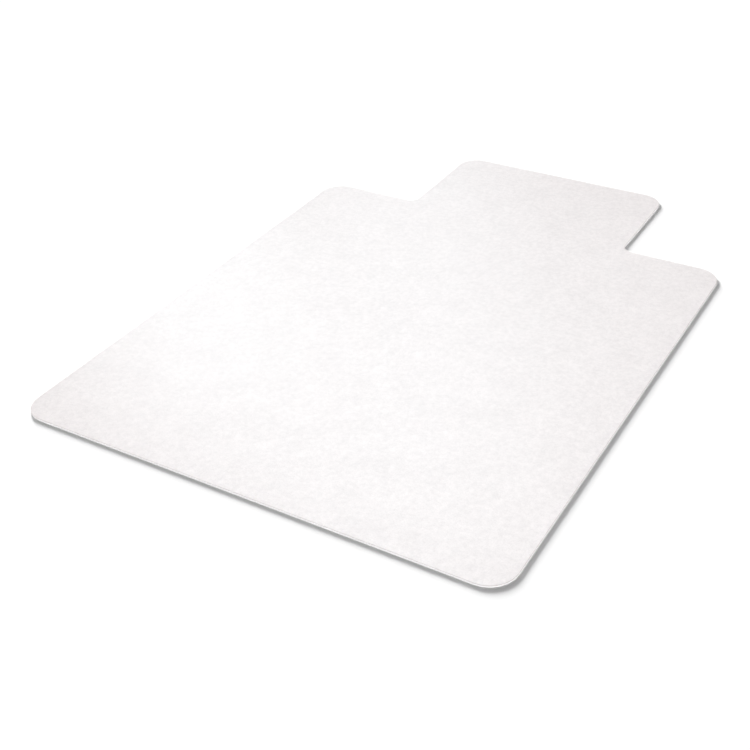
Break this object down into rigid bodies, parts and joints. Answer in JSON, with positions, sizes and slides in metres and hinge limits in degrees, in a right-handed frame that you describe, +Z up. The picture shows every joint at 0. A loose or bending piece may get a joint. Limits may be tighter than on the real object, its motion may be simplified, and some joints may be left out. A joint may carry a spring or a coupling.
{
  "type": "chair mat",
  "caption": "Thin lipped chair mat: a broad rounded rolling area with a narrower lip for under the desk, finely textured on top and gripping underneath.",
  "frame": {"origin": "on the floor, under the centre of the mat's whole outline", "axes": "+Z up, +Y from the chair towards the lip that goes under the desk, +X to the right"},
  "size_m": [0.9144, 1.2192, 0.003],
  "materials": {
    "embossed_vinyl": "milky white vinyl with a fine random embossed grain, satin",
    "core_vinyl": "plain stiff vinyl, smooth cut edge",
    "backing_vinyl": "softer matt vinyl with a very fine gripping texture"
  },
  "bodies": {
    "root": {"wear_layer": "embossed_vinyl", "core_sheet": "core_vinyl", "grip_backing": "backing_vinyl"}
  },
  "joints": []
}
